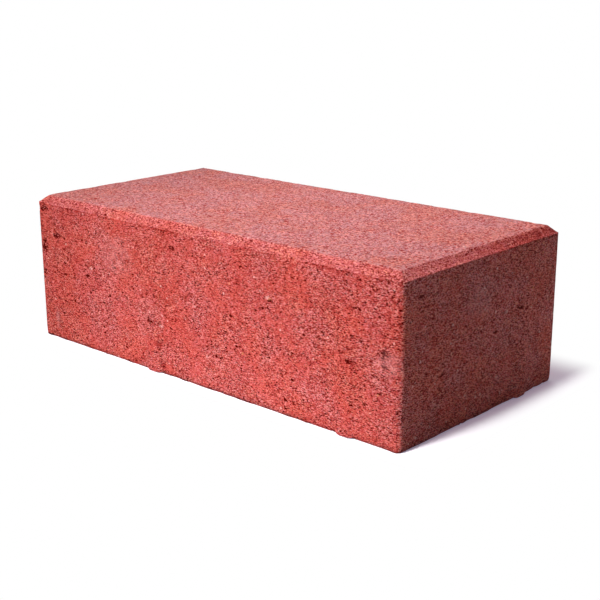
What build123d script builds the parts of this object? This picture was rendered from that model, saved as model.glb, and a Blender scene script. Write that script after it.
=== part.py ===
"""Rectangular concrete paving stone, cast in one piece.

Frame: origin at the centre of the underside, +X along the length, +Z up, in millimetres.
"""
from build123d import *
import os

# Laying module: what one stone and its share of the joints take up in the paving
module_length = 200.0
module_width = 100.0
joint = 2.0

# Body of the stone, without its spacer nibs
body_length = module_length - joint
body_width = module_width - joint
height = 62.5
arris_radius = 2.2

# Bevel around the wearing face, with the flat rim that the press shoe leaves outside it
bevel_width = 3.8
bevel_depth = 2.9
rim_width = 0.3

# Spacer nibs: low ribs that rise from the underside and run out below the bevel
nib_proud = joint / 2
nib_foot = 10.4
nib_crest = 4.2
nib_crest_radius = 3.0
nib_foot_radius = 2.0
nib_height = 36.0
nib_runout = 7.0
nib_root = 3.0
nib_skirt = 2.5

# Seen from outside any side, its first nib stands this far from the module's right-hand end
nib_inset = 25.0
nib_pitch = 100.0
nibs_on_side = 2
nibs_on_end = 1


def stone_body():
    """Upright block with rounded arrises and a mitred bevel inside a narrow flat rim."""
    block = extrude(RectangleRounded(body_length, body_width, arris_radius), height)
    rim_level = height - bevel_depth
    below_rim = Pos(0, 0, rim_level / 2) * Box(body_length, body_width, rim_level)
    bevel_foot = Rectangle(body_length - 2 * rim_width, body_width - 2 * rim_width)
    wearing_face = Rectangle(body_length - 2 * bevel_width, body_width - 2 * bevel_width)
    crown = loft([Pos(0, 0, rim_level) * bevel_foot, Pos(0, 0, height) * wearing_face], ruled=True)
    return block & (below_rim + crown)


def spacer_nib():
    """Nib on a side whose face is the plane Y = 0, standing out towards -Y."""
    foot, crest = nib_foot / 2, nib_crest / 2
    flank = Polygon(
        (-foot, 0), (-crest, -nib_proud), (crest, -nib_proud), (foot, 0), align=None
    )
    skirt_width = nib_foot + 2 * nib_skirt
    skirt = Pos(0, nib_root / 2) * Rectangle(skirt_width, nib_root)
    section = flank + skirt
    crest_corners = section.vertices().filter_by(lambda v: abs(v.Y + nib_proud) < 1e-6)
    section = fillet(crest_corners, nib_crest_radius)
    foot_corners = section.vertices().filter_by(
        lambda v: abs(v.Y) < 1e-6 and abs(v.X) < foot + nib_skirt / 2
    )
    section = fillet(foot_corners, nib_foot_radius)
    rib = extrude(section, nib_height + nib_runout)
    side_view = Polygon(
        (nib_root, 0),
        (-nib_proud, 0),
        (-nib_proud, nib_height),
        (0, nib_height + nib_runout),
        (nib_root, nib_height + nib_runout),
        align=None,
    )
    run_out = extrude(Plane.YZ * side_view, skirt_width / 2, both=True)
    return rib & run_out


def nib_places():
    """Where the nibs stand: two-fold symmetric about the upright centre line."""
    places = []
    for turn in (0, 180):
        for index in range(nibs_on_side):
            along = module_length / 2 - nib_inset - index * nib_pitch
            places.append(Rot(0, 0, turn) * Pos(along, -body_width / 2, 0))
        for index in range(nibs_on_end):
            along = module_width / 2 - nib_inset - index * nib_pitch
            places.append(Rot(0, 0, turn + 90) * Pos(along, -body_length / 2, 0))
    return places


def paving_stone():
    """Body and nibs as one solid."""
    nib = spacer_nib()
    stone = stone_body()
    for place in nib_places():
        stone += place * nib
    return stone.solid()


os.makedirs("parts", exist_ok=True)
stone = paving_stone()
stone.label = "paving_stone"
export_step(stone, "parts/paving_stone.step")
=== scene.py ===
"""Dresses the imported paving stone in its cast, open-grained concrete skin.

The stone stands on a plain white floor in soft light. Lengths are in millimetres and become
Blender's metres through MM, except where a name ends in _m.
"""
import functools
import itertools
import logging
import math
from dataclasses import dataclass
from enum import Enum, IntEnum

import bpy
import numpy as np
from mathutils import Matrix, Vector


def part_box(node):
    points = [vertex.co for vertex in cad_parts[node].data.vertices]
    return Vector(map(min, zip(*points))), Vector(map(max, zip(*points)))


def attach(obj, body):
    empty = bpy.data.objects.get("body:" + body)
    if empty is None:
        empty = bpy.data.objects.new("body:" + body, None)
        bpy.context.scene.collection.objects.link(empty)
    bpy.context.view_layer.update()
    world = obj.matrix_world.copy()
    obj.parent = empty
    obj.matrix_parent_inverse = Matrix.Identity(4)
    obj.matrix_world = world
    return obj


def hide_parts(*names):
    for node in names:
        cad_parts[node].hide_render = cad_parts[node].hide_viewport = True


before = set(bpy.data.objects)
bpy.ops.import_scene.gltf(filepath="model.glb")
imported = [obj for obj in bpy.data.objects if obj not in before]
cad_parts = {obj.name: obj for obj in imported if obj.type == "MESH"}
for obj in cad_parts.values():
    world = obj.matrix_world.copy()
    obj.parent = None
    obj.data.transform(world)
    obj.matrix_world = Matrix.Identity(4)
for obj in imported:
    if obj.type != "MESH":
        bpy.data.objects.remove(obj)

MM = 0.001
NODE = "paving_stone"
BODY = "root"
FRONT_Y = -49.0
END_X = 99.0
SPOT_DEPTH = 4.0
FINE_STEPS = 4001
SEED_MIX = 7919
SALT_MIX = 104729
WORD = 0xFFFFFFFF
WORD_MIX = 73244475
AXIS_MIX = (73856093, 19349663, 83492791)
ROUND = ((0, 0), (1, 0), (1, 1), (0, 1))
ROUND_BACK = ((0, 0), (0, 1), (1, 1), (1, 0))

Colour = tuple[float, float, float]
Place = tuple[float, float, float]
Zones = tuple[float, float, float]
Cut = tuple[float, float]
Socket = bpy.types.NodeSocket
Settings = dict[str, object] | None
Inputs = dict[str | int, object] | None


class Side(Enum):
    """Upright sides of the stone, by the quarter turns that bring the front one there."""

    FRONT = 0
    RIGHT = 1
    BACK = 2
    LEFT = 3


class Salt(IntEnum):
    """Tells the draws of one field of chance from those of another."""

    WALL_PORES = 100
    TOP_PORES = 200
    EDGE_CHIPS = 300
    SWELL = 400
    GRAIN = 500
    FOOT = 600
    BEVEL = 610
    LIP = 700


def smooth_step(low: float, high: float, values: np.ndarray) -> np.ndarray:
    """Eases from 0 at low to 1 at high: 3t^2 - 2t^3 of the clipped share t.

    Args:
        low: value where the result leaves 0.
        high: value where the result reaches 1.
        values: what is eased.

    Returns:
        Numbers from 0 to 1, of the values' shape.
    """
    share = np.clip((values - low) / (high - low), 0.0, 1.0)
    return share * share * (3.0 - 2.0 * share)


def bell(distances: np.ndarray, reach: float) -> np.ndarray:
    """Falls from 1 at no distance towards 0 beyond the reach: exp(-(distance / reach)^2)."""
    return np.exp(-((distances / reach) ** 2))


@dataclass(frozen=True)
class Chance:
    """Repeatable unevenness over space, worked out for whole arrays of points."""

    seed: int

    def numbers(self, cells: np.ndarray, salt: int) -> np.ndarray:
        """Draws one number for each cell of a cubic grid, by mixing the bits of its indices.

        Args:
            cells: whole-numbered cell indices, three in the last axis.
            salt: tells one set of draws from another.

        Returns:
            Numbers from 0 to 1, one for each cell.
        """
        mask, shift, mix = (np.uint64(number) for number in (WORD, 16, WORD_MIX))
        whole = cells.astype(np.int64).astype(np.uint64) & mask
        mixed = np.full(whole.shape[:-1], (self.seed * SEED_MIX + salt * SALT_MIX) & WORD, np.uint64)
        for axis, prime in enumerate(AXIS_MIX):
            mixed = (mixed ^ (whole[..., axis] * np.uint64(prime))) & mask
            mixed = ((mixed ^ (mixed >> shift)) * mix) & mask
        mixed = ((mixed ^ (mixed >> shift)) * mix) & mask
        return (mixed ^ (mixed >> shift)).astype(float) / float(WORD)

    def waves(self, points: np.ndarray, size: float, salt: int) -> np.ndarray:
        """Soft lumps: the corners of each cubic cell hold a draw, and points ease between them.

        Args:
            points: places in millimetres, three in the last axis.
            size: side of a cell.
            salt: tells one field from another.

        Returns:
            Numbers from -1 to 1, one for each point.
        """
        scaled = points / size
        cell = np.floor(scaled)
        ease = smooth_step(0.0, 1.0, scaled - cell)
        total = np.zeros(points.shape[:-1])
        for corner in itertools.product((0, 1), repeat=3):
            weight = np.prod(np.where(corner, ease, 1.0 - ease), axis=-1)
            total += weight * self.numbers(cell + np.array(corner), salt)
        return 2.0 * total - 1.0

    def layered(self, points: np.ndarray, size: float, layers: int, salt: int) -> np.ndarray:
        """Adds waves of halving size and height, and scales the sum back to the first.

        Args:
            points: places in millimetres.
            size: cell of the largest waves.
            layers: how many waves are added.
            salt: tells one field from another.

        Returns:
            Numbers from -1 to 1, one for each point.
        """
        heights = 0.5 ** np.arange(layers)
        parts = [
            height * self.waves(points, size * height, salt + number)
            for number, height in enumerate(heights)
        ]
        return sum(parts) / heights.sum()

    def hollows(self, points: np.ndarray, pores: "Pores") -> np.ndarray:
        """Round-bottomed pores scattered one to a cell, each 1 - (distance / radius)^2 deep.

        Args:
            points: places in millimetres.
            pores: how far apart, how common, how large and how deep they are.

        Returns:
            Depth in millimetres at each point, full in the middle of a pore of the largest size.
        """
        salt = pores.salt
        uneven = [self.waves(points, pores.smallest, salt + 10 + axis) for axis in range(3)]
        moved = points + pores.ragged * np.stack(uneven, axis=-1)
        cell = np.floor(moved / pores.apart)
        deepest = np.zeros(points.shape[:-1])
        for step in itertools.product((-1, 0, 1), repeat=3):
            near = cell + np.array(step)
            jitter = np.stack([self.numbers(near, salt + axis) for axis in range(3)], axis=-1)
            size = self.numbers(near, salt + 3) ** 2
            radius = pores.smallest + (pores.largest - pores.smallest) * size
            there = self.numbers(near, salt + 4) < pores.share
            away = np.linalg.norm(moved - (near + jitter) * pores.apart, axis=-1) / radius
            bowl = np.clip(1.0 - away * away, 0.0, 1.0) * there * radius / pores.largest
            deepest = np.maximum(deepest, bowl)
        return pores.depth * deepest


@dataclass(frozen=True)
class Pores:
    """A family of pores: cell size, share of cells with one, radii, depth and raggedness."""

    salt: Salt
    apart: float
    share: float
    smallest: float
    largest: float
    depth: float
    ragged: float = 0.5


@dataclass(frozen=True)
class Spacing:
    """Grid lines between two faces: set rows at each edge, then steps that widen inwards."""

    edge_rows: tuple[float, ...]
    step: float
    edge_step: float
    reach: float

    def lines(self, low: float, high: float, far_rows: tuple[float, ...]) -> np.ndarray:
        """Places the grid lines of one direction.

        The lines between the set rows are where the running total of 1 / step passes whole
        numbers, and the step eases from its edge value to its middle one over the reach.

        Args:
            low: first line.
            high: last line.
            far_rows: distances of the set rows from the last line.

        Returns:
            Line positions, in rising order and even in number of steps.
        """
        near = low + np.array(self.edge_rows)
        far = high - np.array(far_rows)[::-1]
        fine = np.linspace(near[-1], far[0], FINE_STEPS)
        edge = np.minimum(fine - fine[0], fine[-1] - fine)
        step = self.step - (self.step - self.edge_step) * np.exp(-edge / self.reach)
        total = np.concatenate(([0.0], np.cumsum(np.diff(fine) / step[1:])))
        count = int(round(total[-1]))
        count += (count + len(near) + len(far)) % 2
        between = np.interp(np.linspace(0.0, total[-1], count + 1), total, fine)
        return np.concatenate((near[:-1], between, far[1:]))


@dataclass(frozen=True)
class Shell:
    """Surface of a box of grid lines: its points, and faces that all look outwards.

    The underside has fine rows round its edge and cells of two by two lines inside them.
    """

    x: np.ndarray
    y: np.ndarray
    z: np.ndarray
    frame_rows: int

    def key(self, i: np.ndarray, j: np.ndarray, k: np.ndarray) -> np.ndarray:
        """Numbers the grid points: i, j and k count lines along X, Y and Z."""
        return (i * len(self.y) + j) * len(self.z) + k

    def cells(self, rows: int, columns: int) -> tuple[np.ndarray, np.ndarray]:
        """Row and column of every cell of a flat grid, as two flat arrays."""
        row, column = np.meshgrid(np.arange(rows), np.arange(columns), indexing="ij")
        return row.ravel(), column.ravel()

    def side_faces(self) -> list[np.ndarray]:
        """Quads of the four upright sides and the top, one array for each.

        Returns:
            Arrays of grid point numbers, four to a row, in outward order.
        """
        last_x, last_y, last_z = (len(line) - 1 for line in (self.x, self.y, self.z))
        i, k = self.cells(last_x, last_z)
        front = [self.key(i + a, 0, k + c) for a, c in ROUND]
        back = [self.key(i + a, last_y, k + c) for a, c in ROUND_BACK]
        j, k = self.cells(last_y, last_z)
        right = [self.key(last_x, j + b, k + c) for b, c in ROUND]
        left = [self.key(0, j + b, k + c) for b, c in ROUND_BACK]
        i, j = self.cells(last_x, last_y)
        top = [self.key(i + a, j + b, last_z) for a, b in ROUND]
        return [np.stack(face, axis=-1) for face in (front, back, right, left, top)]

    def underside_faces(self) -> list[np.ndarray]:
        """Faces of the underside: fine quads, wide quads and the triangles between them.

        A wide cell beside the fine rows is a fan about its middle point, with a fine edge
        split at its middle, so that no point lies on an edge without being joined to it.

        Returns:
            Arrays of grid point numbers, each with three or four to a row, facing down.
        """
        last_x, last_y, rows = len(self.x) - 1, len(self.y) - 1, self.frame_rows
        i, j = self.cells(last_x, last_y)
        edge = (i < rows) | (i >= last_x - rows) | (j < rows) | (j >= last_y - rows)
        i, j = i[edge], j[edge]
        fine = np.stack([self.key(i + a, j + b, 0) for a, b in ROUND_BACK], axis=-1)
        i, j = self.cells((last_x - 2 * rows) // 2, (last_y - 2 * rows) // 2)
        i, j = rows + 2 * i, rows + 2 * j
        outer = [j == rows, i + 2 == last_x - rows, j + 2 == last_y - rows, i == rows]
        fanned = np.any(outer, axis=0)
        wide = [self.key(i[~fanned] + 2 * a, j[~fanned] + 2 * b, 0) for a, b in ROUND_BACK]
        corners = ((0, 0), (2, 0), (2, 2), (0, 2))
        triangles = []
        for number, on_edge in enumerate(outer):
            start, end = corners[number], corners[(number + 1) % 4]
            middle = ((start[0] + end[0]) // 2, (start[1] + end[1]) // 2)
            for chosen, path in ((fanned & ~on_edge, (start, end)), (on_edge, (start, middle, end))):
                a, b = i[chosen], j[chosen]
                for first, second in zip(path, path[1:]):
                    fan = [self.key(a + x, b + y, 0) for x, y in ((1, 1), second, first)]
                    triangles.append(np.stack(fan, axis=-1))
        return [fine, np.stack(wide, axis=-1), *triangles]

    def points(self, keys: np.ndarray) -> tuple[np.ndarray, np.ndarray]:
        """Turns grid point numbers into places on the sharp-edged box.

        Args:
            keys: grid point numbers.

        Returns:
            Places in millimetres, and the same points' line numbers along X, Y and Z.
        """
        k = keys % len(self.z)
        j = (keys // len(self.z)) % len(self.y)
        i = keys // (len(self.z) * len(self.y))
        return np.stack([self.x[i], self.y[j], self.z[k]], axis=-1), np.stack([i, j, k], axis=-1)


@dataclass(frozen=True)
class StoneForm:
    """The shape that the mould gives: block, rounded arrises, hollowed bevel and nibs."""

    module_length: float
    module_width: float
    height: float
    joint: float = 2.0
    arris_radius: float = 2.2
    bevel_width: float = 3.8
    bevel_depth: float = 2.9
    bevel_hollow: float = 0.45
    foot_radius: float = 0.45
    foot_rise: float = 4.5
    nib_foot: float = 11.0
    nib_crest: float = 3.4
    nib_height: float = 36.0
    nib_runout: float = 7.0
    nib_inset: float = 25.0
    nib_pitch: float = 100.0
    nib_root: float = 5.0

    @property
    def half(self) -> np.ndarray:
        """Half the body's length and width, without the nibs."""
        return np.array([self.module_length - self.joint, self.module_width - self.joint]) / 2

    @property
    def rim_level(self) -> float:
        """Height of the bevel's lower edge."""
        return self.height - self.bevel_depth

    def inset(self, plan: np.ndarray) -> np.ndarray:
        """Distance of points inwards from the nearest of the body's four straight sides."""
        return np.min(self.half - np.abs(plan), axis=-1)

    def from_arris(self, plan: np.ndarray) -> np.ndarray:
        """Distance of points on a side from its nearest upright arris."""
        return np.max(self.half - np.abs(plan), axis=-1)

    def rounded_inset(self, plan: np.ndarray) -> np.ndarray:
        """Distance of points inwards from the body's outline with its rounded corners.

        With q the offset from a corner's centre, it is radius - |max(q, 0)| - min(max q, 0).

        Args:
            plan: places seen from above.

        Returns:
            Distances in millimetres.
        """
        offset = np.abs(plan) - (self.half - self.arris_radius)
        outside = np.linalg.norm(np.maximum(offset, 0.0), axis=-1)
        return self.arris_radius - outside - np.minimum(offset.max(axis=-1), 0.0)

    def rounded_foot(self, points: np.ndarray, radius: np.ndarray) -> np.ndarray:
        """Rounds the edge between sides and underside, higher than it is deep.

        Seen along the edge, a point's offset from the arc's centre is (a, b), in shares of the
        arc's depth and rise. It keeps its larger share as its distance: both are scaled by
        max(a, b) / hypot(a, b).

        Args:
            points: places on the sharp-edged box.
            radius: depth of the rounding, one for each point.

        Returns:
            Places on the rounded box.
        """
        depth = self.inset(points[:, :2])
        across, down = 1.0 - depth / radius, 1.0 - points[:, 2] / self.foot_rise
        near = (across > 0) & (down > 0)
        scale = np.where(near, np.maximum(across, down) / np.hypot(across, down).clip(1e-9), 1.0)
        new_depth = np.where(near, radius * (1.0 - across * scale), depth)
        moved = points.copy()
        moved[:, :2] *= (self.half - new_depth[:, None]) / (self.half - depth[:, None])
        moved[:, 2] = np.where(near, self.foot_rise * (1.0 - down * scale), points[:, 2])
        return moved

    def rounded_arrises(self, points: np.ndarray) -> np.ndarray:
        """Rounds the four upright edges, by the same rule as the foot but seen from above.

        Args:
            points: places on the box.

        Returns:
            Places whose outline in plan has quarter circles for corners.
        """
        centre = self.half - self.arris_radius
        offset = np.abs(points[:, :2]) - centre
        near = np.all(offset > 0, axis=-1)
        scale = offset.max(axis=-1) / np.hypot(offset[:, 0], offset[:, 1]).clip(1e-9)
        moved = points.copy()
        rounded = np.sign(points[:, :2]) * (centre + offset * scale[:, None])
        moved[:, :2] = np.where(near[:, None], rounded, points[:, :2])
        return moved

    def crown(self, plan: np.ndarray, slack: np.ndarray) -> np.ndarray:
        """Height of the upper surface: hollowed bevel and flat wearing face.

        The bevel rises by t (1 - hollow (1 - t)) of its depth, where t is the share of its
        width, so that it is steepest at its upper edge.

        Args:
            plan: places seen from above.
            slack: how far the bevel's upper edge wanders inwards, one for each place.

        Returns:
            Heights above the underside.
        """
        share = np.clip(self.rounded_inset(plan) / (self.bevel_width + slack), 0.0, 1.0)
        return self.rim_level + self.bevel_depth * share * (1.0 - self.bevel_hollow * (1.0 - share))

    def nib_centres(self, side: Side) -> list[float]:
        """Places of a side's nibs along it, from its middle towards its right-hand end."""
        long_side = side in (Side.FRONT, Side.BACK)
        end = (self.module_length if long_side else self.module_width) / 2 - self.nib_inset
        return [end, end - self.nib_pitch] if long_side else [end]

    def nib_height_at(self, along: np.ndarray, level: np.ndarray) -> np.ndarray:
        """How far a nib stands out: an eased rib across, cut by a straight run-out above.

        Args:
            along: distance sideways from the nib's middle.
            level: height above the underside.

        Returns:
            Distance out of the side's face.
        """
        rib = 1.0 - smooth_step(self.nib_crest / 2, self.nib_foot / 2, np.abs(along))
        run_out = np.clip((self.nib_height + self.nib_runout - level) / self.nib_runout, 0.0, 1.0)
        return self.joint / 2 * np.minimum(rib, run_out)

    def with_nibs(self, points: np.ndarray) -> np.ndarray:
        """Pushes the sides out at their nibs, and the underside with them near its edge.

        Args:
            points: places on the body.

        Returns:
            Places on the body and its nibs.
        """
        moved = points.copy()
        for side in Side:
            turn = side.value * math.pi / 2
            outward = np.array([math.sin(turn), -math.cos(turn)])
            rightward = np.array([math.cos(turn), math.sin(turn)])
            reach = np.abs(outward) @ self.half
            depth = reach - points[:, :2] @ outward
            fade = np.clip(1.0 - depth / self.nib_root, 0.0, 1.0) * (points[:, 2] < self.rim_level)
            for centre in self.nib_centres(side):
                out = fade * self.nib_height_at(points[:, :2] @ rightward - centre, points[:, 2])
                moved[:, :2] += out[:, None] * outward
        return moved


@dataclass(frozen=True)
class Relief:
    """What casting and handling leave on the mould's shape, in and out along the surface."""

    chance: Chance
    swell: float = 0.06
    swell_size: float = 26.0
    wall_grain: float = 0.03
    top_grain: float = 0.03
    grain_size: float = 1.9
    wall_pores: Pores = Pores(Salt.WALL_PORES, 4.2, 0.42, smallest=0.7, largest=1.5, depth=0.75)
    top_pores: Pores = Pores(Salt.TOP_PORES, 5.0, 0.20, smallest=0.7, largest=1.2, depth=0.35)
    edge_chips: Pores = Pores(Salt.EDGE_CHIPS, 4.0, 0.25, smallest=0.7, largest=1.6, depth=0.30)
    edge_reach: float = 1.3
    foot_wear: float = 0.7
    arris_reach: float = 2.5
    arris_closed: float = 0.6
    lip: float = 0.06
    lip_height: float = 0.45
    lip_run: float = 11.0
    lip_cut: Cut = (-0.4, 0.4)
    lip_full: float = 0.4
    lip_inset: Cut = (1.2, 0.2)
    lip_from_arris: Cut = (3.0, 8.0)
    shadow_line_reach: float = 0.28

    def pit_depth(self, form: StoneForm, points: np.ndarray, top: np.ndarray) -> np.ndarray:
        """Depth of pores below the surface, and of chips along the worn rim and foot.

        Args:
            form: the mould's shape.
            points: places in millimetres.
            top: 1 on the wearing face and 0 on the sides and bevel.

        Returns:
            Depths in millimetres, 0 or more, and least along the upright arrises.
        """
        families = (self.wall_pores, self.top_pores, self.edge_chips)
        wall, face, chip = (self.chance.hollows(points, pores) for pores in families)
        plan, level = points[:, :2], points[:, 2]
        inwards = bell(form.inset(plan), self.edge_reach)
        rim = bell(level - form.rim_level, self.edge_reach) * inwards
        foot = bell(level, self.edge_reach) * inwards
        worn = np.clip(rim + self.foot_wear * foot, 0.0, 1.0)
        closed = self.arris_closed * bell(form.from_arris(plan), self.arris_reach)
        return np.maximum(wall * (1.0 - top) + face * top, chip * worn) * (1.0 - closed)

    def height(self, points: np.ndarray, top: np.ndarray) -> np.ndarray:
        """Height of slow swells and coarse grain.

        Args:
            points: places in millimetres.
            top: 1 on the wearing face and 0 on the sides and bevel.

        Returns:
            Heights in millimetres, about 0 on the sides and below it on the wearing face.
        """
        slow = self.swell * self.chance.layered(points, self.swell_size, 2, Salt.SWELL)
        grain = self.chance.layered(points, self.grain_size, 2, Salt.GRAIN)
        coarse = self.wall_grain * (1.0 - top) + self.top_grain * top
        return slow * (1.0 - top) + coarse * grain - top * self.top_grain

    def rim_lip(
        self, form: StoneForm, points: np.ndarray, end: np.ndarray
    ) -> tuple[np.ndarray, np.ndarray]:
        """Low lip that comes and goes just under the bevel, and the painted shadow line below it.

        Args:
            form: the mould's shape.
            points: places in millimetres.
            end: 1 on the stone's ends, which have no lip.

        Returns:
            How far the lip stands out in millimetres, and the painted shadow line's strength from 0 to
            1.
        """
        below = form.rim_level - points[:, 2]
        here = self.chance.layered(points * (1, 1, 0), self.lip_run, 3, Salt.LIP)
        here = smooth_step(*self.lip_cut, here) * (1.0 - end)
        lip = self.lip * here * smooth_step(self.lip_height, self.lip_full * self.lip_height, below)
        lip = lip * smooth_step(*self.lip_inset, form.inset(points[:, :2]))
        lip = lip * smooth_step(*self.lip_from_arris, form.from_arris(points[:, :2]))
        return lip, here * bell(below - self.lip_height, self.shadow_line_reach)


@dataclass(frozen=True)
class Level:
    """A number that varies over a surface: Python's operators on it add Math nodes."""

    tree: "Tree"
    socket: Socket

    def maths(self, operation: str, *operands: "Level | float") -> "Level":
        """Adds one Math node: Blender's name for what it does, and its inputs in order."""
        return self.tree.number("ShaderNodeMath", {"operation": operation}, dict(enumerate(operands)))

    def __add__(self, other: "Level | float") -> "Level":
        """Sum."""
        return self.maths("ADD", self, other)

    def __sub__(self, other: "Level | float") -> "Level":
        """Difference."""
        return self.maths("SUBTRACT", self, other)

    def __rsub__(self, other: "Level | float") -> "Level":
        """Difference, where the number comes first."""
        return self.maths("SUBTRACT", other, self)

    def __mul__(self, other: "Level | float") -> "Level":
        """Product."""
        return self.maths("MULTIPLY", self, other)

    def __truediv__(self, other: "Level | float") -> "Level":
        """Quotient."""
        return self.maths("DIVIDE", self, other)

    __radd__ = __add__
    __rmul__ = __mul__

    def highest(self, other: "Level | float") -> "Level":
        """The larger of the two at each point."""
        return self.maths("MAXIMUM", self, other)

    def between(self, low: "Level | float", high: "Level | float") -> "Level":
        """Eases from 0 where the number is low to 1 where it is high, which may be below it."""
        inputs = {"Value": self, "From Min": low, "From Max": high}
        return self.tree.number("ShaderNodeMapRange", {"interpolation_type": "SMOOTHSTEP"}, inputs)


@dataclass(frozen=True)
class Patches:
    """Cloudy noise cut to patches: its size, and the values where they begin and are full."""

    size: float
    cut: Cut
    detail: float = 2.0
    shape: Place = (1.0, 1.0, 1.0)
    shift: Place = (0.0, 0.0, 0.0)


@dataclass(frozen=True)
class Scatter:
    """Marks of one kind, one to a cell: the further its draw passes the rarity, the larger."""

    cell: float
    rarity: float
    growth: float
    softness: float
    ragged: Cut
    by_size: float = 0.0
    on_end: float = 0.0
    shape: Place = (1.0, 1.0, 1.0)
    shift: Place = (0.0, 0.0, 0.0)


@dataclass(frozen=True)
class Space:
    """Coordinates in millimetres that patterns are drawn on."""

    tree: "Tree"
    socket: Socket

    def maths(self, operation: str, *others: "Space | Place") -> "Space":
        """Adds one Vector Math node, with these coordinates as the first of its inputs."""
        inputs = dict(enumerate((self, *others)))
        return self.tree.space("ShaderNodeVectorMath", {"operation": operation}, inputs)

    def length(self) -> Level:
        """Length of the vector at each point."""
        return self.tree.number("ShaderNodeVectorMath", {"operation": "LENGTH"}, {0: self}, "Value")

    def moved(self, scale: Place = (1.0, 1.0, 1.0), place: Place = (0.0, 0.0, 0.0)) -> "Space":
        """Stretches the coordinates axis by axis, and then shifts them."""
        inputs = {"Vector": self, "Location": place, "Scale": scale}
        return self.tree.space("ShaderNodeMapping", None, inputs)

    def noise(self, size: float, detail: float = 2.0) -> Level:
        """Cloudy numbers about 0.5, with lumps of a size and so many finer layers on them."""
        inputs = {"Vector": self, "Scale": 1.0 / size, "Detail": detail, "Roughness": 0.6}
        return self.tree.number("ShaderNodeTexNoise", None, inputs)

    def patches(self, kind: Patches) -> Level:
        """Patches of noise, 1 where they are full and 0 between them."""
        cloudy = self.moved(kind.shape, kind.shift).noise(kind.size, kind.detail)
        return cloudy.between(*kind.cut)

    def ragged(self, size: float, by: float) -> "Space":
        """Shakes the coordinates, so that what is drawn on them has ragged outlines.

        Args:
            size: of the unevenness.
            by: how far a point may move.

        Returns:
            The shaken coordinates.
        """
        inputs = {"Vector": self, "Scale": 1.0 / size, "Detail": 1.0}
        shake = self.tree.space("ShaderNodeTexNoise", None, inputs, 1)
        centred = shake.maths("SUBTRACT", (0.5, 0.5, 0.5))
        return self.maths("ADD", centred.maths("MULTIPLY", (2.0 * by,) * 3))

    def cells(self, size: float) -> tuple[Level, Level, Level, Level]:
        """Scattered points, each with the space nearest to it and three draws of its own.

        Args:
            size: distance between points.

        Returns:
            Distance to the nearest point in millimetres, and that point's three draws.
        """
        node = self.tree.add("ShaderNodeTexVoronoi", None, {"Vector": self, "Scale": 1.0 / size})
        draws = self.tree.add("ShaderNodeSeparateColor", None, {0: node.outputs["Color"]}).outputs
        away = Level(self.tree, node.outputs["Distance"]) * size
        return away, *(Level(self.tree, draw) for draw in draws)

    def seams(self, size: float) -> Level:
        """Distance in millimetres to the nearest border between scattered cells of a size."""
        settings, inputs = {"feature": "DISTANCE_TO_EDGE"}, {"Vector": self, "Scale": 1.0 / size}
        return self.tree.number("ShaderNodeTexVoronoi", settings, inputs, "Distance") * size


class Tree:
    """Nodes of one material or of the world."""

    def __init__(self, owner: bpy.types.Material | bpy.types.World) -> None:
        """Turns the owner's nodes on and empties its node tree."""
        owner.use_nodes = True
        self.owner = owner
        self.nodes = owner.node_tree
        self.nodes.nodes.clear()

    def add(self, kind: str, settings: Settings = None, inputs: Inputs = None) -> bpy.types.Node:
        """Adds one node, sets it up, and then fills its inputs.

        Args:
            kind: Blender's name for the type of node.
            settings: the node's own choices; "stops" holds a ramp's positions and colours.
            inputs: a value, socket, Level or Space for each input that isn't left as it comes.

        Returns:
            The new node.
        """
        node = self.nodes.nodes.new(kind)
        for name, setting in (settings or {}).items():
            if name == "stops":
                self.set_stops(node.color_ramp.elements, setting)
            else:
                setattr(node, name, setting)
        for name, value in (inputs or {}).items():
            source = value.socket if isinstance(value, (Level, Space)) else value
            if isinstance(source, Socket):
                self.nodes.links.new(source, node.inputs[name])
            else:
                node.inputs[name].default_value = source
        return node

    @staticmethod
    def set_stops(elements: bpy.types.bpy_prop_collection, stops: list[tuple[float, Colour]]) -> None:
        """Gives a ramp its stops.

        Args:
            elements: the ramp's stops, of which a new ramp has two.
            stops: positions and colours, in rising order.
        """
        while len(elements) < len(stops):
            elements.new(1.0)
        for element, (position, colour) in zip(elements, stops):
            element.position = position
            element.color = (*colour, 1.0)

    def number(
        self, kind: str, settings: Settings = None, inputs: Inputs = None, output: str | int = 0
    ) -> Level:
        """Adds one node as add does, and wraps one of its outputs as a number."""
        return Level(self, self.add(kind, settings, inputs).outputs[output])

    def space(
        self, kind: str, settings: Settings = None, inputs: Inputs = None, output: str | int = 0
    ) -> Space:
        """Adds one node as add does, and wraps one of its outputs as coordinates."""
        return Space(self, self.add(kind, settings, inputs).outputs[output])

    def mark(self, name: str) -> Level:
        """Reads a number that the mesh holds for each of its points."""
        return self.number("ShaderNodeAttribute", {"attribute_name": name}, None, "Fac")

    def millimetres(self) -> Space:
        """The object's own coordinates."""
        return self.space("ShaderNodeTexCoord", None, None, "Object").moved((1 / MM,) * 3)

    def mixed(
        self, share: Level | float, first: Colour | Socket, second: Colour | Socket, blend: str = "MIX"
    ) -> Socket:
        """Mixes two colours.

        Args:
            share: how much of the second shows.
            first: colour where the share is 0.
            second: colour where the share is 1.
            blend: Blender's name for the way of mixing.

        Returns:
            The mixed colour.
        """
        settings = {"data_type": "RGBA", "blend_type": blend}
        colours = [(*c, 1.0) if isinstance(c, tuple) else c for c in (first, second)]
        inputs = {0: share, 6: colours[0], 7: colours[1]}
        return self.add("ShaderNodeMix", settings, inputs).outputs[2]

    def blended(self, share: Level | float, first: Socket, second: Socket) -> Socket:
        """Blends two shaders.

        Args:
            share: how much of the second shows.
            first: shader where the share is 0.
            second: shader where the share is 1.

        Returns:
            The blended shader.
        """
        return self.add("ShaderNodeMixShader", None, {0: share, 1: first, 2: second}).outputs[0]


@dataclass(frozen=True)
class Spot:
    """A place that stands out on the photographed stone, and how far it reaches each way."""

    place: Place
    reach: Place


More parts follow.
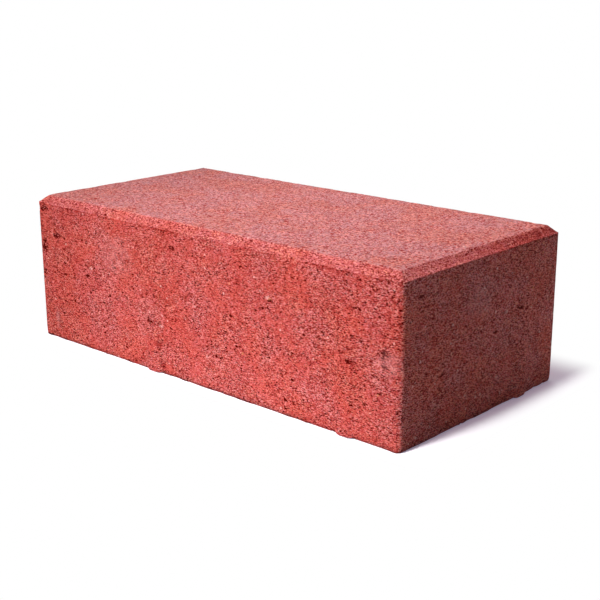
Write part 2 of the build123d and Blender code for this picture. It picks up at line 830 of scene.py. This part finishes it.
def spots_on(side: Side, *outlines: tuple[float, float, float, float]) -> tuple[Spot, ...]:
    """Places spots on the face of the front or of the right-hand end.

    Args:
        side: FRONT or RIGHT.
        outlines: each spot's place along the side, its height, and its reach along and upwards.

    Returns:
        The spots.
    """
    if side is Side.FRONT:
        return tuple(Spot((x, FRONT_Y, z), (wide, SPOT_DEPTH, high)) for x, z, wide, high in outlines)
    return tuple(Spot((END_X, y, z), (SPOT_DEPTH, wide, high)) for y, z, wide, high in outlines)


@dataclass(frozen=True)
class ConcreteFinish:
    """Red through-coloured concrete: sand grains in pigmented paste, pores and pale grains.

    Zones give the strength of something on the long sides, and what is added to it on the
    wearing face and on the ends. A cut gives the values that become 0 and 1. A ragged outline
    has the size of its unevenness and how far that reaches.
    """

    # Darkest colour, reached only in pores and cracks: painted shade in recesses.
    pore: Colour = (0.095, 0.003, 0.002)
    deep: Colour = (0.320, 0.018, 0.014)
    paste: Colour = (0.475, 0.050, 0.040)
    bright: Colour = (0.590, 0.096, 0.081)
    pale: Colour = (0.700, 0.218, 0.190)
    # Wearing face's palette: its own finer paste, paler and pinker from painted sheen of grazing
    # reflections.
    top_deep_and_sheen: Colour = (0.260, 0.057, 0.055)
    top_paste_and_sheen: Colour = (0.374, 0.107, 0.108)
    top_bright_and_sheen: Colour = (0.475, 0.195, 0.197)
    pale_grain: Colour = (0.800, 0.480, 0.440)
    ochre_grain: Colour = (0.720, 0.280, 0.130)
    haze: Colour = (0.640, 0.280, 0.280)
    warm_tint: Colour = (1.00, 0.93, 0.85)
    cool_tint: Colour = (0.98, 1.07, 1.14)
    yellow_fleck: Colour = (1.00, 1.04, 0.82)
    blue_fleck: Colour = (0.99, 0.96, 1.18)
    facet_tint: Colour = (1.00, 1.35, 1.45)
    grain_size: float = 1.2
    sand_size: float = 0.41
    speck_size: float = 0.42
    grain_shape: Place = (0.74, 0.74, 1.85)
    dark_cut: Cut = (0.20, 0.08)
    lump_edge_cut: Cut = (0.46, 0.38)
    seam_cell: float = 1.7
    seam_ragged: Cut = (1.0, 0.35)
    seam_cut: Cut = (0.17, 0.04)
    open_seams: Patches = Patches(1.3, (0.49, 0.59), 1.0, shift=(3.0, 9.0, 4.0))
    rough: Patches = Patches(9.0, (0.36, 0.64))
    calmest: float = 0.74
    roughest: float = 1.26
    medium_size: float = 2.6
    cloud_size: float = 30.0
    tint: Patches = Patches(19.0, (0.36, 0.64), shift=(31.0, 17.0, 5.0))
    facet_cell: float = 2.0
    facet_ragged: Cut = (1.2, 0.5)
    facet_cut: Cut = (0.88, 0.93)
    # Pores and cracks are larger and commoner on the ends, as more painted shade where their light
    # shows little relief.
    pores: Scatter = Scatter(2.1, 0.71, 1.8, 0.20, (0.8, 0.5), on_end=0.15, shape=(0.75, 0.75, 1.55))
    gathered_size: float = 5.0
    gathered_by: float = 1.2
    cracks: Scatter = Scatter(
        3.4, 0.84, 4.4, 0.25, (1.3, 0.7), on_end=0.08, shape=(0.6, 0.6, 2.0), shift=(7.0, 3.0, 5.0)
    )
    crumbs: Patches = Patches(1.0, (0.43, 0.52), shape=(0.8, 0.8, 1.5))
    pale_grains: Scatter = Scatter(3.2, 0.74, 2.0, 0.20, (0.8, 0.25), by_size=0.10)
    ochre_cut: Cut = (0.80, 0.85)
    torn: Patches = Patches(0.9, (0.40, 0.52))
    hazy: Patches = Patches(3.0, (0.30, 0.65), 3.0)
    broken_lip_shadow: Patches = Patches(1.6, (0.38, 0.52))
    wander_size: float = 1.1
    wander_by: float = 0.8
    spot_cut: Cut = (1.1, 0.3)
    tone_stops: tuple[float, ...] = (0.08, 0.30, 0.52, 0.76, 0.98)
    haze_spots: tuple[Spot, ...] = (
        Spot((-46.0, FRONT_Y, 44.0), (11.0, 11.0, 10.0)),
        Spot((94.0, FRONT_Y, 31.0), (6.0, 7.0, 6.0)),
        Spot((END_X, -3.0, 44.0), (11.0, 11.0, 10.0)),
        Spot((-89.0, FRONT_Y, 9.0), (2.0, 3.0, 5.0)),
    )
    open_spots: tuple[Spot, ...] = (
        *spots_on(
            Side.FRONT,
            (-96.0, 29.0, 2.0, 1.5), (-95.0, 41.0, 2.5, 3.5), (-94.0, 57.0, 3.5, 1.5),
            (-86.0, 46.5, 3.0, 1.5), (-66.0, 32.0, 2.0, 1.0), (-25.5, 21.0, 2.5, 1.0),
            (-12.0, 53.0, 2.5, 1.0), (77.0, 28.0, 2.0, 1.0), (92.0, 33.5, 2.5, 2.0),
        ),
        *spots_on(
            Side.RIGHT,
            (-39.0, 53.0, 2.5, 0.8), (-26.0, 22.0, 2.0, 0.8),
            (7.0, 30.0, 1.5, 1.0), (22.0, 36.0, 2.0, 0.8),
        ),
    )
    bare_spots: tuple[Spot, ...] = (
        *spots_on(Side.FRONT, (-63.5, 36.0, 1.5, 1.0), (-20.0, 20.0, 1.5, 1.0), (39.0, 43.0, 2.0, 1.0)),
        *spots_on(Side.RIGHT, (13.5, 36.0, 1.5, 1.0), (18.5, 47.0, 1.0, 1.0)),
        Spot((92.0, -4.5, 62.5), (1.5, 1.5, 4.0)),
    )
    # Band along the back of the right-hand end's bevel, darkened as painted shade where the light falls
    # off.
    bevel_shade_spots: tuple[Spot, ...] = (Spot((98.0, 50.0, 61.0), (4.0, 68.0, 4.0)),)
    roughness: float = 0.86
    gloss: float = 0.20
    grain_height: float = 0.04
    sand_height: float = 0.27
    seam_depth: float = 0.05
    speck_depth: float = 0.13
    pore_depth: float = 0.60

    # On the ends the paler tone is painted light, and the stronger contrast is painted relief shading
    # standing in for their soft light.
    base_tone: Zones = (0.575, 0.045, 0.255)
    contrast: Zones = (1.0, 0.30, 0.50)
    medium_tone: Zones = (0.06, 0.30, 0.0)
    seam_shade_tone: Zones = (0.06, 0.0, 0.06)
    lump_edge_shade_tone: Zones = (0.03, 0.0, 0.30)
    lump_tone: float = 0.02
    sand_tone: float = 1.15
    speck_tone: float = 0.84
    speck_shade_tone: float = 0.48
    cloud_tone: float = 0.16
    pore_shade_tone: float = 0.95
    # Darkening of the line under the lip: the lip's painted shadow.
    lip_shadow_tone: float = 0.32
    # Darkening in the mesh's pits: painted shade in recesses.
    pit_shade_tone: float = 0.30
    bevel_shade_tone: float = 0.25
    # The bevel takes part of the wearing face's palette, and some of its painted sheen with it.
    bevel_like_top: float = 0.3
    top_flecks: float = 0.6
    facet_share: float = 0.28
    bare_share: float = 0.55
    haze_share: float = 0.27
    gloss_shade_share: float = 0.6


class Concrete:
    """The finish drawn in nodes, in the stone's own millimetres."""

    def __init__(self, finish: ConcreteFinish) -> None:
        """Starts the material, and draws the grain, stronger and weaker in patches.

        Args:
            finish: what the concrete looks like.
        """
        self.finish = finish
        self.tree = Tree(bpy.data.materials.new("red_concrete"))
        self.where = self.tree.millimetres()
        self.top, self.end = self.tree.mark("top"), self.tree.mark("end")
        # The line under the lip, broken in places: the lip's painted shadow.
        self.lip_shadow_line = self.tree.mark("lip_shadow_line") * self.where.patches(finish.broken_lip_shadow)
        self.flatter = flatter = self.where.moved(finish.grain_shape)
        self.lumps = flatter.noise(finish.grain_size)
        self.sand = flatter.noise(finish.sand_size)
        _, self.speck, self.fleck, _ = flatter.cells(finish.speck_size)
        self.dark = self.speck.between(*finish.dark_cut)
        seams = flatter.ragged(*finish.seam_ragged).seams(finish.seam_cell)
        self.seams = seams.between(*finish.seam_cut) * flatter.patches(finish.open_seams)
        uneven = (finish.roughest - finish.calmest) * self.where.patches(finish.rough)
        self.contrast = self.zoned(finish.contrast) * (finish.calmest + uneven)
        self.pores = self.open_pores()

    def zoned(self, strengths: Zones) -> Level:
        """Strength at each point, from the one on the long sides and what the others add."""
        plain, top, end = strengths
        return plain + top * self.top + end * self.end

    def spots(self, spots: tuple[Spot, ...]) -> Level:
        """Shows where spots lie, fading from their middles and with uneven outlines.

        Args:
            spots: their places and reaches.

        Returns:
            1 in the middle of a spot and 0 outside all of them.
        """
        finish = self.finish
        wander = finish.wander_by * (self.where.noise(finish.wander_size) - 0.5)
        shares = []
        for spot in spots:
            out = self.where.maths("SUBTRACT", spot.place).maths("DIVIDE", spot.reach)
            shares.append((wander + out.length()).between(*finish.spot_cut))
        return functools.reduce(Level.highest, shares)

    def scattered(self, kind: Scatter, more: Level | float = 0.0) -> tuple[Level, Level]:
        """Scatters marks over the stone.

        A mark's radius is growth * (draw - rarity + by_size * size + on_end * end + more),
        where draw and size are numbers drawn for its cell.

        Args:
            kind: what the marks are like.
            more: makes them larger and commoner where it is above 0.

        Returns:
            1 inside a mark and 0 outside, and one more number drawn for the cell.
        """
        shaken = self.where.ragged(*kind.ragged).moved(kind.shape, kind.shift)
        away, draw, size, last = shaken.cells(kind.cell)
        past = draw - kind.rarity + kind.by_size * size + kind.on_end * self.end + more
        radius = past * kind.growth
        return away.between(radius, radius - kind.softness), last

    def open_pores(self) -> Level:
        """Small pores gathered in places, short level cracks, and the photographed open spots.

        Returns:
            1 inside a pore or crack and 0 outside.
        """
        where, finish = self.where, self.finish
        gathered = finish.gathered_by * (where.noise(finish.gathered_size) - 0.5)
        holes, _ = self.scattered(finish.pores, gathered)
        cracks, _ = self.scattered(finish.cracks)
        crumbs = where.patches(finish.crumbs) * self.spots(finish.open_spots)
        return holes.highest(cracks).highest(crumbs)

    def tone(self) -> Level:
        """Works out how light the paste is from its grain and clouds, with painted shade in pores,
        cracks, pits and under the lip, and along the back of the right-hand end's bevel.

        Returns:
            0 in a pore, about 0.5 on plain paste and 1 on the brightest grain.
        """
        where, finish = self.where, self.finish
        # Dark specks, seams and low places between lumps are darkened as painted shade in small
        # recesses, more on the ends.
        fine = finish.speck_tone * (self.speck - 0.5) - finish.speck_shade_tone * self.dark
        fine = fine + finish.sand_tone * (self.sand - 0.5) + finish.lump_tone * (self.lumps - 0.5)
        lump_edges = self.lumps.between(*finish.lump_edge_cut)
        fine = fine - self.zoned(finish.seam_shade_tone) * self.seams
        fine = fine - self.zoned(finish.lump_edge_shade_tone) * lump_edges
        tone = self.zoned(finish.base_tone) + self.contrast * fine
        # Pores are darkened as painted shade in recesses, and the line under the lip as the lip's
        # painted shadow.
        tone = tone - finish.pore_shade_tone * self.pores - finish.lip_shadow_tone * self.lip_shadow_line
        medium = where.noise(finish.medium_size, 3.0) - 0.5
        tone = tone + self.zoned(finish.medium_tone) * medium
        tone = tone + finish.cloud_tone * (where.noise(finish.cloud_size) - 0.5)
        # Painted shade in the mesh's pits.
        tone = tone - finish.pit_shade_tone * self.tree.mark("hollow")
        # Painted shade along the back of the right-hand end's bevel.
        return tone - finish.bevel_shade_tone * self.spots(finish.bevel_shade_spots)

    def colour(self, tone: Level) -> Socket:
        """Colours the surface by its tone, and tints it in patches, flecks and facets.

        Args:
            tone: how light each point is.

        Returns:
            The colour.
        """
        tree, where, finish = self.tree, self.where, self.finish
        # The second palette, for the wearing face and part of the bevel, carries painted sheen.
        palettes = (
            (finish.pore, finish.deep, finish.paste, finish.bright, finish.pale),
            (finish.deep, finish.top_deep_and_sheen, finish.top_paste_and_sheen, finish.top_bright_and_sheen, finish.pale),
        )
        side, upper = (
            tree.add("ShaderNodeValToRGB", {"stops": stops}, {"Fac": tone}).outputs[0]
            for stops in (list(zip(finish.tone_stops, palette)) for palette in palettes)
        )
        like_top = self.top.highest(finish.bevel_like_top * tree.mark("bevel"))
        colour = tree.mixed(like_top, side, upper)
        tint = tree.mixed(where.patches(finish.tint), finish.warm_tint, finish.cool_tint)
        flecks = tree.mixed(self.fleck, finish.yellow_fleck, finish.blue_fleck)
        flecked = 1.0 - (1.0 - finish.top_flecks) * self.top
        tint = tree.mixed(flecked, tint, flecks, "MULTIPLY")
        _, draw, _, _ = self.flatter.ragged(*finish.facet_ragged).cells(finish.facet_cell)
        facets = finish.facet_share * draw.between(*finish.facet_cut)
        tint = tree.mixed(facets, tint, finish.facet_tint)
        colour = self.pale_grains(tree.mixed(1.0, colour, tint, "MULTIPLY"))
        haze = self.spots(finish.haze_spots) * where.patches(finish.hazy)
        return tree.mixed(finish.haze_share * haze, colour, finish.haze)

    def pale_grains(self, colour: Socket) -> Socket:
        """Lays a few bare sand grains, pale or ochre, over the paste.

        Args:
            colour: the paste's colour.

        Returns:
            The colour with the grains in it.
        """
        tree, where, finish = self.tree, self.where, self.finish
        shows, draw = self.scattered(finish.pale_grains)
        grain = tree.mixed(draw.between(*finish.ochre_cut), finish.pale_grain, finish.ochre_grain)
        bare = shows.highest(where.patches(finish.torn) * self.spots(finish.bare_spots))
        return tree.mixed(finish.bare_share * bare, colour, grain)

    def material(self) -> bpy.types.Material:
        """Puts colour, relief and gloss together.

        Returns:
            The finished material.
        """
        tree, finish = self.tree, self.finish
        grains = finish.grain_height * self.lumps + finish.sand_height * self.sand
        grains = grains - finish.seam_depth * self.seams - finish.speck_depth * self.dark
        height = self.contrast * (grains - finish.pore_depth * self.pores)
        bump = tree.add("ShaderNodeBump", None, {"Strength": 1.0, "Distance": MM, "Height": height})
        inputs = {
            "Base Color": self.colour(self.tone()),
            "Roughness": finish.roughness,
            "Normal": bump.outputs[0],
        }
        open_face, in_pore = (
            tree.add("ShaderNodeBsdfPrincipled", None, {**inputs, "Specular IOR Level": gloss})
            for gloss in (finish.gloss, 0.0)
        )
        # Pores, the line under the lip, seams and dark specks lose their gloss: painted shade on the
        # reflection that recesses would hide.
        sunk = self.lip_shadow_line.highest(self.pores)
        for grain in (self.seams, self.dark):
            sunk = sunk.highest(finish.gloss_shade_share * grain)
        shader = tree.blended(sunk, open_face.outputs[0], in_pore.outputs[0])
        tree.add("ShaderNodeOutputMaterial", None, {"Surface": shader})
        return tree.owner


def in_scene(data: bpy.types.ID) -> bpy.types.Object:
    """Makes an object of a mesh, lamp or camera, with its name, and puts it in the scene.

    Args:
        data: what the object shows.

    Returns:
        The new object.
    """
    thing = bpy.data.objects.new(data.name, data)
    bpy.context.scene.collection.objects.link(thing)
    return thing


@dataclass(frozen=True)
class PavingStone:
    """The stone's skin: mould shape, cast relief and finish."""

    form: StoneForm
    relief: Relief
    finish: ConcreteFinish
    name: str = "paving_stone_skin"
    spacing: Spacing = Spacing((0.0, 0.3, 0.6, 1.0, 1.5, 2.0, 2.5, 3.0, 3.4, 3.8), 0.90, 0.52, 3.0)
    upright: Spacing = Spacing((0.0, 0.25, 0.5, 0.9, 1.4), 0.90, 0.56, 3.0)
    rim_rows: tuple[float, ...] = (0.0, 0.2, 0.4, 0.6, 0.85, 1.2, 1.7)
    frame_rows: int = 12
    foot_run: float = 4.0
    foot_waver: float = 0.5
    bevel_run: float = 5.0
    bevel_waver: float = 0.25
    top_fade: Cut = (-0.9, 0.5)
    end_fade: Cut = (1.0, 0.2)
    underside_pits: float = 0.5
    full_pit_shade: float = 0.6

    def shell(self) -> Shell:
        """Lays the grid lines over the body, closest together along its edges."""
        half = self.form.half
        rows = self.spacing.edge_rows
        return Shell(
            self.spacing.lines(-half[0], half[0], rows),
            self.spacing.lines(-half[1], half[1], rows),
            self.upright.lines(0.0, self.form.rim_level, self.rim_rows),
            self.frame_rows,
        )

    def moulded(self, points: np.ndarray, on_top: np.ndarray) -> np.ndarray:
        """Brings the sharp box to the mould's shape.

        Args:
            points: places on the box.
            on_top: whether each is on the box's upper face.

        Returns:
            Places on the moulded stone.
        """
        form, chance = self.form, self.relief.chance
        waver = self.foot_waver * chance.waves(points * (1, 1, 0), self.foot_run, Salt.FOOT)
        shape = form.with_nibs(points)
        shape = form.rounded_arrises(form.rounded_foot(shape, form.foot_radius * (1.0 + waver)))
        slack = chance.layered(shape * (1, 1, 0), self.bevel_run, 3, Salt.BEVEL)
        crown = form.crown(shape[:, :2], self.bevel_waver * slack)
        lift = crown - form.rim_level
        shape[:, 2] = np.where(on_top, crown, shape[:, 2] + lift * shape[:, 2] / form.rim_level)
        return shape

    def build(self) -> bpy.types.Object:
        """Makes the closed skin and marks its zones.

        Returns:
            The stone's object, at the origin, with its finish on it.
        """
        shell = self.shell()
        faces = shell.side_faces() + shell.underside_faces()
        keys = np.unique(np.concatenate([face.ravel() for face in faces]))
        faces = [np.searchsorted(keys, face) for face in faces]
        box, lines = shell.points(keys)
        on_top = lines[:, 2] == len(shell.z) - 1
        shape = self.moulded(box, on_top)
        form, relief, plan = self.form, self.relief, shape[:, :2]

        depth = form.inset(plan)
        low, high = (form.bevel_width + distance for distance in self.top_fade)
        top = smooth_step(low, high, depth) * on_top
        end = smooth_step(*self.end_fade, form.half[0] - np.abs(plan[:, 0])) * ~on_top
        under = (lines[:, 2] == 0) & (depth > form.foot_radius)
        pits = relief.pit_depth(form, shape, top) * np.where(under, self.underside_pits, 1.0)
        height = np.where(under, 0.0, relief.height(shape, top))
        lip, lip_shadow_line = relief.rim_lip(form, shape, end)

        skin = shape + self.normals(shape, faces) * (height + lip - pits)[:, None]
        limits = np.array([form.module_length / 2, form.module_width / 2])
        skin[:, :2] = np.clip(skin[:, :2], -limits, limits)
        skin[:, 2] = np.clip(skin[:, 2], 0.0, form.height)
        piece = self.mesh_object(skin * MM, faces)
        marks = {
            "top": top,
            "bevel": on_top * (1.0 - top),
            # Pit depth, which the finish darkens as painted shade.
            "hollow": np.clip(pits / self.full_pit_shade, 0.0, 1.0),
            # Strength of the painted shadow line under the lip.
            "lip_shadow_line": lip_shadow_line * ~on_top,
            "end": end,
        }
        for name, values in marks.items():
            attribute = piece.data.attributes.new(name, "FLOAT", "POINT")
            attribute.data.foreach_set("value", values.astype(np.float32))
        piece.data.materials.append(Concrete(self.finish).material())
        return piece

    def normals(self, points: np.ndarray, faces: list[np.ndarray]) -> np.ndarray:
        """Outward directions: each point's faces, added up by area and brought to length 1.

        Args:
            points: places of the mesh's points.
            faces: arrays of point numbers, three or four to a row.

        Returns:
            One direction for each point.
        """
        total = np.zeros_like(points)
        for face in faces:
            opposite = face[:, 2], face[:, 3 % face.shape[1]]
            first = points[opposite[0]] - points[face[:, 0]]
            second = points[opposite[1]] - points[face[:, 1]]
            area = np.cross(first, second)
            for column in face.T:
                np.add.at(total, column, area)
        return total / np.linalg.norm(total, axis=1, keepdims=True)

    def mesh_object(self, points_m: np.ndarray, faces: list[np.ndarray]) -> bpy.types.Object:
        """Puts points and faces into a smooth-shaded mesh.

        Args:
            points_m: places in metres.
            faces: arrays of point numbers, three or four to a row.

        Returns:
            The new object.
        """
        mesh = bpy.data.meshes.new(self.name)
        corners = np.concatenate([face.ravel() for face in faces])
        sizes = np.concatenate([np.full(len(face), face.shape[1]) for face in faces])
        starts = np.concatenate(([0], np.cumsum(sizes)[:-1]))
        mesh.vertices.add(len(points_m))
        mesh.loops.add(len(corners))
        mesh.polygons.add(len(sizes))
        mesh.vertices.foreach_set("co", points_m.astype(np.float32).ravel())
        mesh.loops.foreach_set("vertex_index", corners.astype(np.int32))
        mesh.polygons.foreach_set("loop_start", starts.astype(np.int32))
        mesh.polygons.foreach_set("use_smooth", np.ones(len(sizes), bool))
        mesh.update(calc_edges=True)
        mesh.validate()
        return in_scene(mesh)


@dataclass(frozen=True)
class Lamp:
    """A square soft lamp: where it hangs, what it is turned to and how bright it shows there."""

    name: str
    place: Place
    aim: Place
    size: float
    level: float
    spread: float = 180.0

    def hang(self) -> bpy.types.Object:
        """Hangs the lamp so that a white face turned to it at its aim shows at its level.

        The power is level times pi squared times the distance squared.

        Returns:
            The lamp's object.
        """
        back = (Vector(self.place) - Vector(self.aim)) * MM
        data = bpy.data.lights.new(self.name, "AREA")
        data.shape = "SQUARE"
        data.size = self.size * MM
        data.spread = math.radians(self.spread)
        data.energy = self.level * math.pi**2 * back.length_squared
        lamp = in_scene(data)
        lamp.location = Vector(self.place) * MM
        lamp.rotation_mode = "QUATERNION"
        lamp.rotation_quaternion = back.to_track_quat("Z", "Y")
        return lamp


@dataclass(frozen=True)
class Studio:
    """White floor, lamps, sky and camera of the photograph."""

    azimuth: float = 42.42
    elevation: float = 16.29
    roll: float = -0.11
    camera_place: Place = (314.5, -333.7, 158.0)
    lens: float = 69.24
    sensor_width: float = 36.0
    nearest_m: float = 0.01
    sky: Colour = (0.270, 0.265, 0.266)
    floor_size: float = 8000.0
    floor_white: Colour = (0.97, 0.96, 0.97)
    # Floor colours that only bouncing light sees: cool grey, a painted pool of light near the stone and
    # painted shadow at its foot.
    near_bounce: Colour = (0.74, 0.82, 0.85)
    far_bounce: Colour = (0.54, 0.61, 0.65)
    foot_bounce: Colour = (0.03, 0.03, 0.03)
    floor_glow: Colour = (0.120, 0.085, 0.145)
    shadow_ground: Place = (99.0, 49.0, 0.0)
    foot_reach: float = 25.0
    bounce_reach: tuple[float, float] = (2.0, 248.0)
    even_shape: tuple[Place, Place] = ((1.0, 1.0, 0.0), (1.0, 1.0, 0.0))
    foot_shape: tuple[Place, Place] = ((0.4, 4.0, 0.0), (1.0, 12.0, 0.0))
    fade_shape: tuple[Place, Place] = ((1.0, 0.45, 0.0), (1.0, 2.0, 0.0))
    fade_near: float = 2.5
    fade_far: float = 14.0
    key: Lamp = Lamp("key_light", (-55.0, -513.0, 594.0), (11.0, -31.0, 50.0), 276.0, 0.0717, 18.9)
    fill: Lamp = Lamp("back_fill", (-700.0, 820.0, 530.0), (0.0, 0.0, 30.0), 700.0, 0.22)

    def seen_plainly(self, tree: Tree) -> Level:
        """Tells what the camera, a mirror or glass sees from what only lights the stone.

        Args:
            tree: nodes that the answer is used in.

        Returns:
            1 for rays that see, and 0 for rays that light.
        """
        path = tree.add("ShaderNodeLightPath").outputs
        rays = ("Is Camera Ray", "Is Glossy Ray", "Is Transmission Ray")
        return functools.reduce(Level.highest, (Level(tree, path[ray]) for ray in rays))

    def light_sky(self) -> None:
        """Sets a world that looks white and lights the stone weakly from all round."""
        tree = Tree(bpy.data.worlds.new("white_room"))
        bpy.context.scene.world = tree.owner
        weak, white = (
            tree.add("ShaderNodeBackground", None, {"Color": (*colour, 1.0), "Strength": 1.0})
            for colour in (self.sky, (1.0, 1.0, 1.0))
        )
        sky = tree.blended(self.seen_plainly(tree), weak.outputs[0], white.outputs[0])
        tree.add("ShaderNodeOutputWorld", None, {"Surface": sky})

    def floor_material(self) -> bpy.types.Material:
        """White floor that keeps the stone's shadow and fades to plain white further out. For light
        that bounces onto the stone it is a cool grey, painted dark at the foot as painted shadow and
        lighter near the stone as a painted pool of light.

        Returns:
            The floor's material.
        """
        tree = Tree(bpy.data.materials.new("white_floor"))
        matt = tree.add("ShaderNodeBsdfDiffuse", None, {"Color": (*self.floor_white, 1.0)})
        glow = tree.add("ShaderNodeEmission", None, {"Color": (*self.floor_glow, 1.0)})
        shadowed = tree.add("ShaderNodeAddShader", None, {0: matt.outputs[0], 1: glow.outputs[0]})
        plain = tree.add("ShaderNodeEmission")
        where = tree.millimetres()
        far = self.beyond(where, *self.fade_shape).between(self.fade_near, self.fade_far)
        beyond_foot = self.beyond(where, *self.foot_shape).between(0.0, self.foot_reach)
        away = self.beyond(where, *self.even_shape).between(*self.bounce_reach)
        tone = tree.mixed(beyond_foot, self.foot_bounce, self.near_bounce)
        tone = tree.mixed(away, tone, self.far_bounce)
        bounce = tree.add("ShaderNodeBsdfDiffuse", None, {"Color": tone})
        shown = tree.blended(far, shadowed.outputs[0], plain.outputs[0])
        surface = tree.blended(self.seen_plainly(tree), bounce.outputs[0], shown)
        tree.add("ShaderNodeOutputMaterial", None, {"Surface": surface})
        return tree.owner

    def beyond(self, where: Space, right_back: Place, left_front: Place) -> Level:
        """Distance outwards from the stone's ground, stretched differently towards each side.

        Args:
            where: coordinates in millimetres.
            right_back: stretch of the distances to the right and back.
            left_front: stretch of the distances to the left and front.

        Returns:
            Distances in stretched millimetres, 0 on the stone's ground.
        """
        mirrored = where.maths("MULTIPLY", (-1.0, -1.0, 1.0))
        parts = []
        for place, stretch in ((where, right_back), (mirrored, left_front)):
            out = place.maths("SUBTRACT", self.shadow_ground).maths("MAXIMUM", (0.0,) * 3)
            parts.append(out.maths("MULTIPLY", stretch))
        return parts[0].maths("ADD", parts[1]).length()

    def lay_floor(self) -> bpy.types.Object:
        """Lays the floor under the stone.

        Returns:
            The floor's object.
        """
        reach = self.floor_size * MM / 2
        mesh = bpy.data.meshes.new("studio_floor")
        directions = ((-1, -1), (1, -1), (1, 1), (-1, 1))
        mesh.from_pydata([(x * reach, y * reach, 0.0) for x, y in directions], [], [(0, 1, 2, 3)])
        mesh.materials.append(self.floor_material())
        floor = in_scene(mesh)
        return floor

    def set_camera(self) -> bpy.types.Object:
        """Places the camera where the photograph was taken from.

        Returns:
            The camera's object.
        """
        angles = (self.azimuth, self.elevation, self.roll)
        turn, rise, roll = (math.radians(angle) for angle in angles)
        back = Vector((
            math.sin(turn) * math.cos(rise),
            -math.cos(turn) * math.cos(rise),
            math.sin(rise),
        ))
        level = Vector((math.cos(turn), math.sin(turn), 0.0))
        right = math.cos(roll) * level + math.sin(roll) * back.cross(level)
        data = bpy.data.cameras.new("camera")
        data.sensor_width = self.sensor_width
        data.sensor_fit = "HORIZONTAL"
        data.lens = self.lens
        data.clip_start = self.nearest_m
        camera = in_scene(data)
        place = Vector(self.camera_place) * MM
        axes = Matrix((right, back.cross(right), back)).transposed()
        camera.matrix_world = Matrix.LocRotScale(place, axes.to_quaternion(), None)
        bpy.context.scene.camera = camera
        bpy.context.scene.view_settings.view_transform = "Standard"
        return camera

    def set_up(self) -> None:
        """Sets up the camera, sky, floor and lamps."""
        self.set_camera()
        self.light_sky()
        self.lay_floor()
        for lamp in (self.key, self.fill):
            lamp.hang()


def main() -> None:
    """Sets up the studio and dresses the stone."""
    logging.basicConfig(level=logging.INFO, format="%(message)s")
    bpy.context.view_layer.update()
    Studio().set_up()
    low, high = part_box(NODE)
    size = (high - low) / MM
    form = StoneForm(module_length=size.x, module_width=size.y, height=size.z)
    stone = PavingStone(form, Relief(Chance(seed=11)), ConcreteFinish()).build()
    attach(stone, BODY)
    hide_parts(NODE)
    triangles = sum(len(face.vertices) - 2 for face in stone.data.polygons)
    logging.info("%s: %d points, %d triangles", stone.name, len(stone.data.vertices), triangles)


if __name__ == "__main__":
    main()
